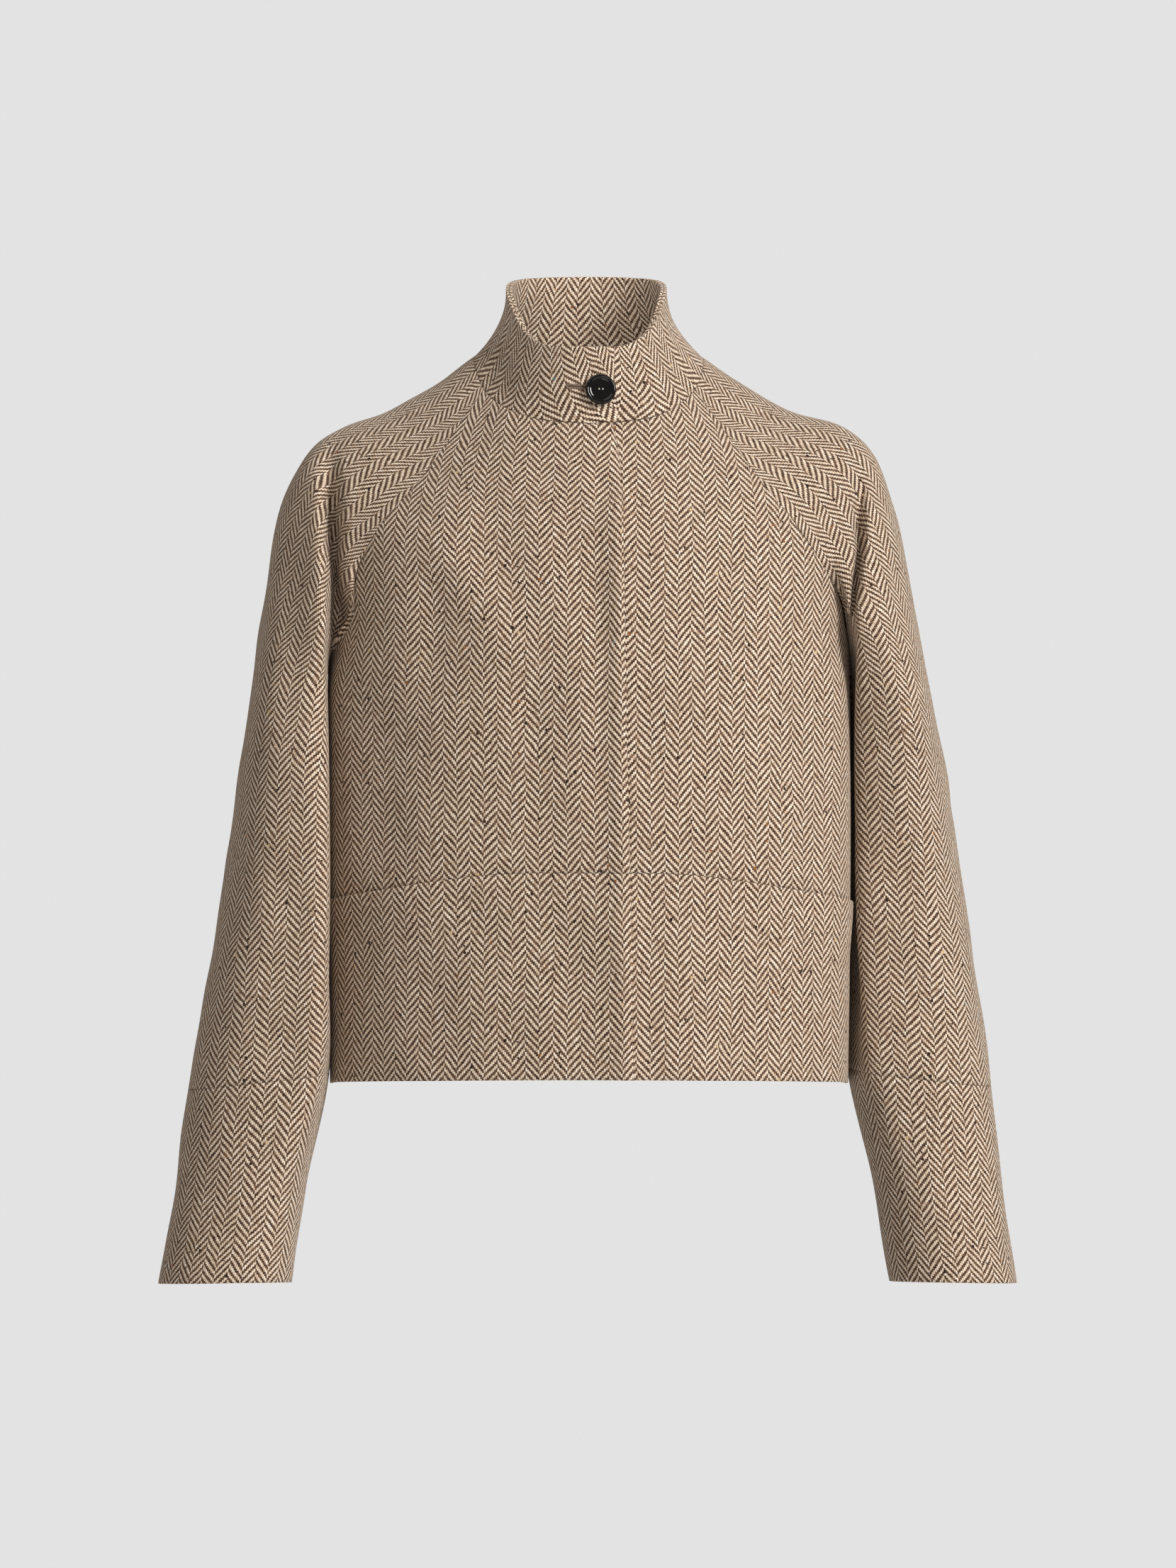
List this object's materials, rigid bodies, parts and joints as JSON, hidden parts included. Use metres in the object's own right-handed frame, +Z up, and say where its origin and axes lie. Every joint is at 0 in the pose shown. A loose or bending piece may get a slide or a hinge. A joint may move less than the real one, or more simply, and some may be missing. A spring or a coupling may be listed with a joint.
{
  "type": "cropped jacket",
  "caption": "Cropped jacket in herringbone tweed with a funnel collar and button, raglan sleeves, deep cuffs and a concealed lapped front, hollow as worn.",
  "frame": {"origin": "on the centre plane between the shoulders, level with the points where the collar meets the shoulder line", "axes": "+Z up along the body, +X to the wearer's left, -Y to the front"},
  "size_m": [0.6036, 0.2641, 0.7171],
  "materials": {
    "tweed": "matte brushed wool in a brown and cream herringbone",
    "button": "polished black"
  },
  "bodies": {
    "root": {"back": "tweed", "collar": "tweed", "collar_facing": "tweed", "left_front_upper": "tweed", "left_front_lower": "tweed", "right_front_upper": "tweed", "right_front_lower": "tweed", "left_sleeve": "tweed", "left_cuff": "tweed", "right_sleeve": "tweed", "right_cuff": "tweed", "button": "button"}
  },
  "joints": []
}
